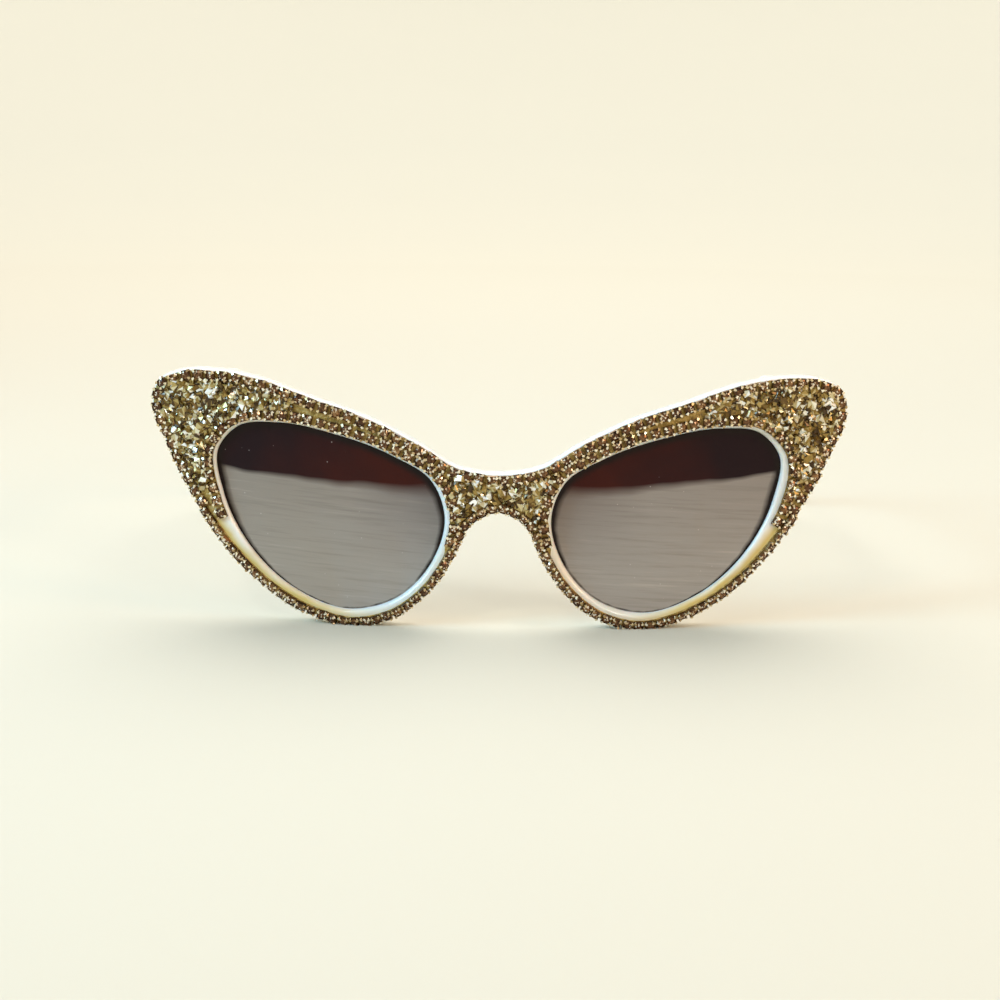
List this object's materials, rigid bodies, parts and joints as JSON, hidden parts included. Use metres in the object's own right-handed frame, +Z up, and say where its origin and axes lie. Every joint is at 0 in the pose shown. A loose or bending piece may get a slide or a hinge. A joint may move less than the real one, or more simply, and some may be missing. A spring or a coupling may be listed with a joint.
{
  "type": "cat eye sunglasses",
  "caption": "Cat eye sunglasses with a stone-set plastic front, two tinted lenses and two folding temples.",
  "frame": {"origin": "middle of the glasses' footprint, on the surface that the rims and the temple tips stand on", "axes": "+Z up, +X towards the wearer's left, the front faces -Y and the temples run towards +Y"},
  "size_m": [0.1508, 0.1496, 0.0541],
  "materials": {
    "pearl_plastic": "white pearly moulded plastic, polished",
    "temple_plastic": "white pearly moulded plastic, polished",
    "pad_plastic": "ivory plastic, polished",
    "lens_tint": "gradient brown-grey lens, glossy",
    "gold_glue": "olive gold glue film, uneven gloss",
    "cup_metal": "small stamped brass cups, bright edges",
    "amber_stone": "dark amber cut glass stones",
    "crushed_crystal": "crushed champagne, olive and clear crystals",
    "hinge_brass": "gold plated hinge, satin",
    "screw_steel": "plain steel"
  },
  "bodies": {
    "front": {"front_frame": "pearl_plastic", "lens_left": "lens_tint", "nose_pad_left": "pad_plastic", "glue_bed_left": "gold_glue", "brow_chain_cups_left": "cup_metal", "brow_chain_stones_left": "amber_stone", "rim_chain_cups_left": "cup_metal", "rim_chain_stones_left": "amber_stone", "eye_chain_cups_left": "cup_metal", "eye_chain_stones_left": "amber_stone", "wing_crystals_left": "crushed_crystal", "front_hinge_left": "hinge_brass", "hinge_screw_left": "screw_steel", "lens_right": "lens_tint", "nose_pad_right": "pad_plastic", "glue_bed_right": "gold_glue", "brow_chain_cups_right": "cup_metal", "brow_chain_stones_right": "amber_stone", "rim_chain_cups_right": "cup_metal", "rim_chain_stones_right": "amber_stone", "eye_chain_cups_right": "cup_metal", "eye_chain_stones_right": "amber_stone", "wing_crystals_right": "crushed_crystal", "front_hinge_right": "hinge_brass", "hinge_screw_right": "screw_steel", "bridge_crystals": "crushed_crystal"},
    "left_temple": {"temple_left": "temple_plastic", "temple_core_left": "screw_steel", "temple_hinge_left": "hinge_brass", "temple_rivets_left": "screw_steel"},
    "right_temple": {"temple_right": "temple_plastic", "temple_core_right": "screw_steel", "temple_hinge_right": "hinge_brass", "temple_rivets_right": "screw_steel"}
  },
  "joints": [
    {"name": "temple_fold_left", "type": "hinge", "parent": "front", "child": "left_temple", "pos_m": [0.0646, -0.05318, 0.04501], "axis": [0, 0, 1], "range_deg": [0, 90]},
    {"name": "temple_fold_right", "type": "hinge", "parent": "front", "child": "right_temple", "pos_m": [-0.0646, -0.05318, 0.04501], "axis": [0, 0, -1], "range_deg": [0, 84]}
  ]
}
